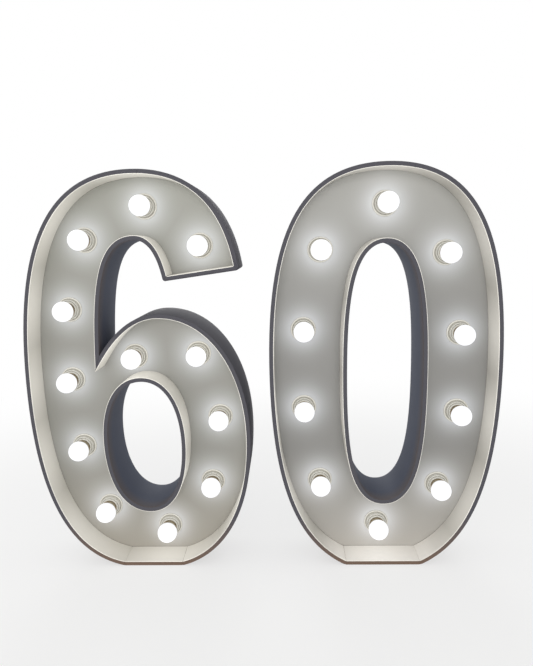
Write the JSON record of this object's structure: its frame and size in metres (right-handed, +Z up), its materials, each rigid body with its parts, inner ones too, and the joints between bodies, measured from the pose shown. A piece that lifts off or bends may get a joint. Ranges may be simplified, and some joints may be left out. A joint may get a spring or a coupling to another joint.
{
  "type": "light up marquee number",
  "caption": "Pair of free-standing marquee numerals, a six and a nought, as deep lit trays with screw-in golf-ball bulbs.",
  "frame": {"origin": "on the floor, midway between the pair's outer sides and halfway through their depth", "axes": "+X to the right as seen from the front, -Y towards the viewer out of the lit trays, +Z up"},
  "size_m": [1.048, 0.12, 0.9],
  "materials": {
    "wall_sheet": "foamed PVC sheet, charcoal paint outside and on the edges, white inside the recess",
    "panel_sheet": "white foamed PVC sheet, satin",
    "cover_sheet": "charcoal PVC sheet, satin",
    "bulb": "opal polycarbonate globe that glows when lit, on a nickel-plated cap",
    "lampholder": "cream thermoset moulding, satin",
    "screw_steel": "zinc plated",
    "flex_sheath": "white PVC sheath",
    "terminal_block": "natural polyamide",
    "grommet_rubber": "black rubber"
  },
  "bodies": {
    "root": {"six_back_panel": "panel_sheet", "six_base_strip": "wall_sheet", "six_bowl_wall": "wall_sheet", "six_cord_grommet": "grommet_rubber", "six_counter_wall": "wall_sheet", "six_cover_posts": "panel_sheet", "six_cover_screws": "screw_steel", "six_crown_wall": "wall_sheet", "six_flex": "flex_sheath", "six_lampholder_rings": "lampholder", "six_lampholders": "lampholder", "six_rear_cover": "cover_sheet", "six_spine_wall": "wall_sheet", "six_terminal_block": "terminal_block", "six_terminal_strip": "wall_sheet", "six_throat_wall": "wall_sheet", "zero_back_panel": "panel_sheet", "zero_base_strip": "wall_sheet", "zero_cord_grommet": "grommet_rubber", "zero_counter_wall": "wall_sheet", "zero_cover_posts": "panel_sheet", "zero_cover_screws": "screw_steel", "zero_flex": "flex_sheath", "zero_lampholder_rings": "lampholder", "zero_lampholders": "lampholder", "zero_left_wall": "wall_sheet", "zero_rear_cover": "cover_sheet", "zero_right_wall": "wall_sheet", "zero_terminal_block": "terminal_block"},
    "six_bulb_1": {"six_bulb_1": "bulb"},
    "six_bulb_10": {"six_bulb_10": "bulb"},
    "six_bulb_11": {"six_bulb_11": "bulb"},
    "six_bulb_12": {"six_bulb_12": "bulb"},
    "six_bulb_2": {"six_bulb_2": "bulb"},
    "six_bulb_3": {"six_bulb_3": "bulb"},
    "six_bulb_4": {"six_bulb_4": "bulb"},
    "six_bulb_5": {"six_bulb_5": "bulb"},
    "six_bulb_6": {"six_bulb_6": "bulb"},
    "six_bulb_7": {"six_bulb_7": "bulb"},
    "six_bulb_8": {"six_bulb_8": "bulb"},
    "six_bulb_9": {"six_bulb_9": "bulb"},
    "zero_bulb_1": {"zero_bulb_1": "bulb"},
    "zero_bulb_10": {"zero_bulb_10": "bulb"},
    "zero_bulb_2": {"zero_bulb_2": "bulb"},
    "zero_bulb_3": {"zero_bulb_3": "bulb"},
    "zero_bulb_4": {"zero_bulb_4": "bulb"},
    "zero_bulb_5": {"zero_bulb_5": "bulb"},
    "zero_bulb_6": {"zero_bulb_6": "bulb"},
    "zero_bulb_7": {"zero_bulb_7": "bulb"},
    "zero_bulb_8": {"zero_bulb_8": "bulb"},
    "zero_bulb_9": {"zero_bulb_9": "bulb"}
  },
  "joints": [
    {"name": "six_bulb_1_unscrew", "type": "slide", "parent": "root", "child": "six_bulb_1", "axis": [0, -1, 0], "range_m": [0, 0.022]},
    {"name": "six_bulb_10_unscrew", "type": "slide", "parent": "root", "child": "six_bulb_10", "axis": [0, -1, 0], "range_m": [0, 0.022]},
    {"name": "six_bulb_11_unscrew", "type": "slide", "parent": "root", "child": "six_bulb_11", "axis": [0, -1, 0], "range_m": [0, 0.022]},
    {"name": "six_bulb_12_unscrew", "type": "slide", "parent": "root", "child": "six_bulb_12", "axis": [0, -1, 0], "range_m": [0, 0.022]},
    {"name": "six_bulb_2_unscrew", "type": "slide", "parent": "root", "child": "six_bulb_2", "axis": [0, -1, 0], "range_m": [0, 0.022]},
    {"name": "six_bulb_3_unscrew", "type": "slide", "parent": "root", "child": "six_bulb_3", "axis": [0, -1, 0], "range_m": [0, 0.022]},
    {"name": "six_bulb_4_unscrew", "type": "slide", "parent": "root", "child": "six_bulb_4", "axis": [0, -1, 0], "range_m": [0, 0.022]},
    {"name": "six_bulb_5_unscrew", "type": "slide", "parent": "root", "child": "six_bulb_5", "axis": [0, -1, 0], "range_m": [0, 0.022]},
    {"name": "six_bulb_6_unscrew", "type": "slide", "parent": "root", "child": "six_bulb_6", "axis": [0, -1, 0], "range_m": [0, 0.022]},
    {"name": "six_bulb_7_unscrew", "type": "slide", "parent": "root", "child": "six_bulb_7", "axis": [0, -1, 0], "range_m": [0, 0.022]},
    {"name": "six_bulb_8_unscrew", "type": "slide", "parent": "root", "child": "six_bulb_8", "axis": [0, -1, 0], "range_m": [0, 0.022]},
    {"name": "six_bulb_9_unscrew", "type": "slide", "parent": "root", "child": "six_bulb_9", "axis": [0, -1, 0], "range_m": [0, 0.022]},
    {"name": "zero_bulb_1_unscrew", "type": "slide", "parent": "root", "child": "zero_bulb_1", "axis": [0, -1, 0], "range_m": [0, 0.022]},
    {"name": "zero_bulb_10_unscrew", "type": "slide", "parent": "root", "child": "zero_bulb_10", "axis": [0, -1, 0], "range_m": [0, 0.022]},
    {"name": "zero_bulb_2_unscrew", "type": "slide", "parent": "root", "child": "zero_bulb_2", "axis": [0, -1, 0], "range_m": [0, 0.022]},
    {"name": "zero_bulb_3_unscrew", "type": "slide", "parent": "root", "child": "zero_bulb_3", "axis": [0, -1, 0], "range_m": [0, 0.022]},
    {"name": "zero_bulb_4_unscrew", "type": "slide", "parent": "root", "child": "zero_bulb_4", "axis": [0, -1, 0], "range_m": [0, 0.022]},
    {"name": "zero_bulb_5_unscrew", "type": "slide", "parent": "root", "child": "zero_bulb_5", "axis": [0, -1, 0], "range_m": [0, 0.022]},
    {"name": "zero_bulb_6_unscrew", "type": "slide", "parent": "root", "child": "zero_bulb_6", "axis": [0, -1, 0], "range_m": [0, 0.022]},
    {"name": "zero_bulb_7_unscrew", "type": "slide", "parent": "root", "child": "zero_bulb_7", "axis": [0, -1, 0], "range_m": [0, 0.022]},
    {"name": "zero_bulb_8_unscrew", "type": "slide", "parent": "root", "child": "zero_bulb_8", "axis": [0, -1, 0], "range_m": [0, 0.022]},
    {"name": "zero_bulb_9_unscrew", "type": "slide", "parent": "root", "child": "zero_bulb_9", "axis": [0, -1, 0], "range_m": [0, 0.022]}
  ]
}
